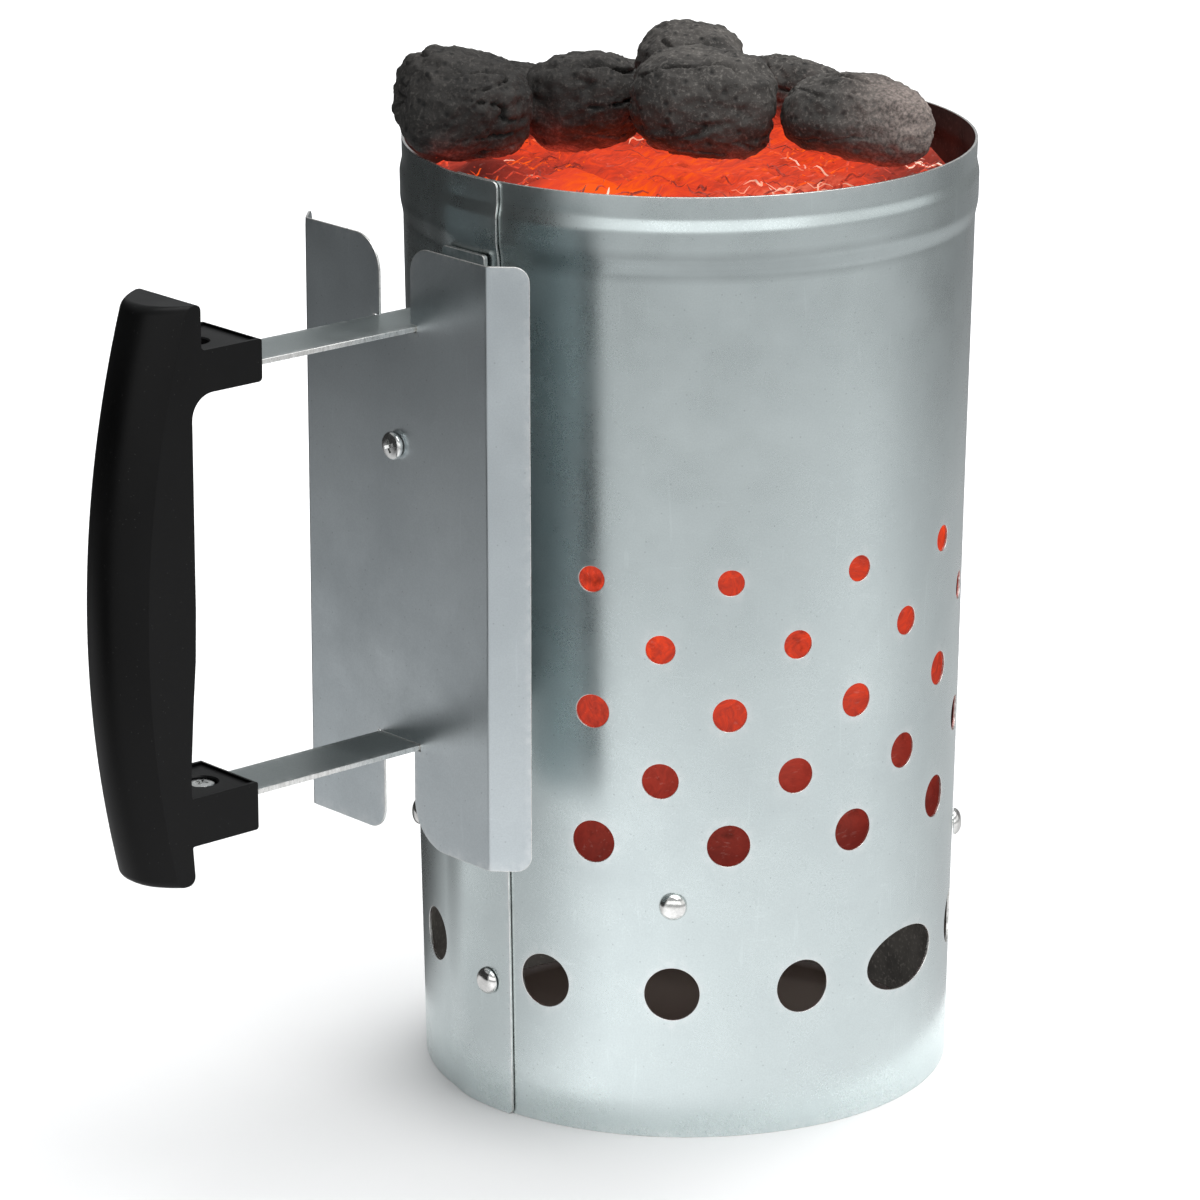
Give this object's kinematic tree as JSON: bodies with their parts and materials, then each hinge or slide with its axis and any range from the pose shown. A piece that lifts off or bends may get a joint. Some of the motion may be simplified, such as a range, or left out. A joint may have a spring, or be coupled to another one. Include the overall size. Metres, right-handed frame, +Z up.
{
  "type": "chimney charcoal starter",
  "caption": "Chimney charcoal starter: tapered, vented steel cylinder with a riveted inner grate, a bent heat shield, a moulded grip on two straps, and a removable charcoal load.",
  "frame": {"origin": "middle of the footprint, grip included, on the surface the base edge stands on; the body's own axis is vertical at x = +0.0655 m", "axes": "+Z up along the body axis; the handle points along -X; Y runs across the grip"},
  "size_m": [0.2971, 0.166, 0.3064],
  "materials": {
    "galvanised_sheet": "satin galvanised sheet with a fine grain",
    "galvanised_shield": "satin galvanised sheet, slightly darker",
    "strap_steel": "galvanised flat bar with bright sheared edges",
    "rivet_steel": "bright domed heads",
    "screw_steel": "bright zinc plating",
    "grate_steel": "plain sheet steel, heat darkened",
    "moulded_black": "black moulded plastic with a fine texture and a soft gloss",
    "charcoal": "dull pressed charcoal, pitted and cracked",
    "ember": "glowing embers"
  },
  "bodies": {
    "starter": {"outer_shell": "galvanised_sheet", "seam_rivet_lower": "rivet_steel", "seam_rivet_middle": "rivet_steel", "charcoal_grate": "grate_steel", "grate_rivet_1": "rivet_steel", "grate_rivet_2": "rivet_steel", "grate_rivet_3": "rivet_steel", "grate_rivet_4": "rivet_steel", "upper_strap": "strap_steel", "lower_strap": "strap_steel", "upper_foot_rivet": "rivet_steel", "lower_foot_rivet": "rivet_steel", "heat_shield": "galvanised_shield", "shield_spacer": "screw_steel", "shield_screw": "screw_steel", "shield_nut": "screw_steel", "handle_grip": "moulded_black", "upper_handle_screw": "screw_steel", "lower_handle_screw": "screw_steel"},
    "charcoal_load": {"ember_bed": "ember", "briquette_01": "charcoal", "briquette_02": "charcoal", "briquette_03": "charcoal", "briquette_04": "charcoal", "briquette_05": "charcoal", "briquette_06": "charcoal", "briquette_07": "charcoal", "briquette_08": "charcoal", "briquette_09": "charcoal"}
  },
  "joints": [
    {"name": "load_lift_out", "type": "slide", "parent": "starter", "child": "charcoal_load", "axis": [0, 0, 1], "range_m": [0, 0.25]}
  ]
}
